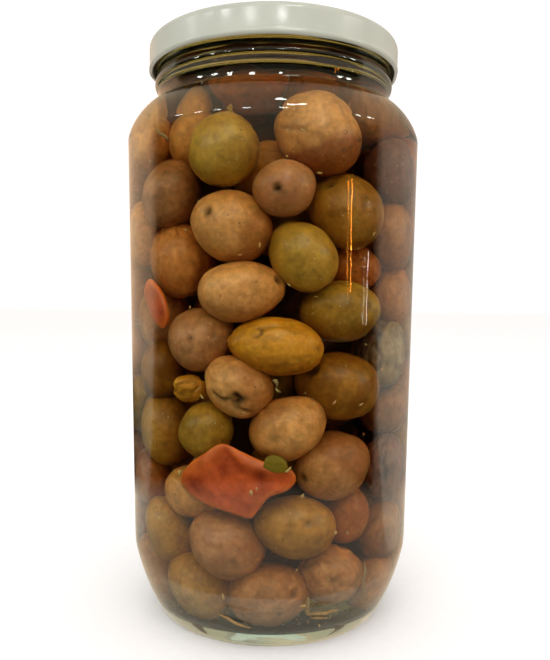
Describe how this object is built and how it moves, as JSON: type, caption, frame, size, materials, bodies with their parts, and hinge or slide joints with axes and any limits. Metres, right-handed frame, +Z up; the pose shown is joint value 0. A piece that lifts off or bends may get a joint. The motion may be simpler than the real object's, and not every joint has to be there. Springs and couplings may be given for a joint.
{
  "type": "jar of olives",
  "caption": "Tall glass jar with a pale steel twist-off lid, packed with whole olives and red pepper in brine.",
  "frame": {"origin": "middle of the ring that the jar stands on", "axes": "+Z up along the jar's axis, -Y is the front shown in the picture"},
  "size_m": [0.093, 0.093, 0.184],
  "materials": {
    "clear_glass": "clear, smooth",
    "white_lacquer": "satin lacquer",
    "olive_skin": "wet skin",
    "red_pepper": "wet flesh"
  },
  "bodies": {
    "root": {"glass_jar": "clear_glass", "lid": "white_lacquer", "olives": "olive_skin", "red_pepper_front": "red_pepper", "red_pepper_left": "red_pepper"}
  },
  "joints": []
}
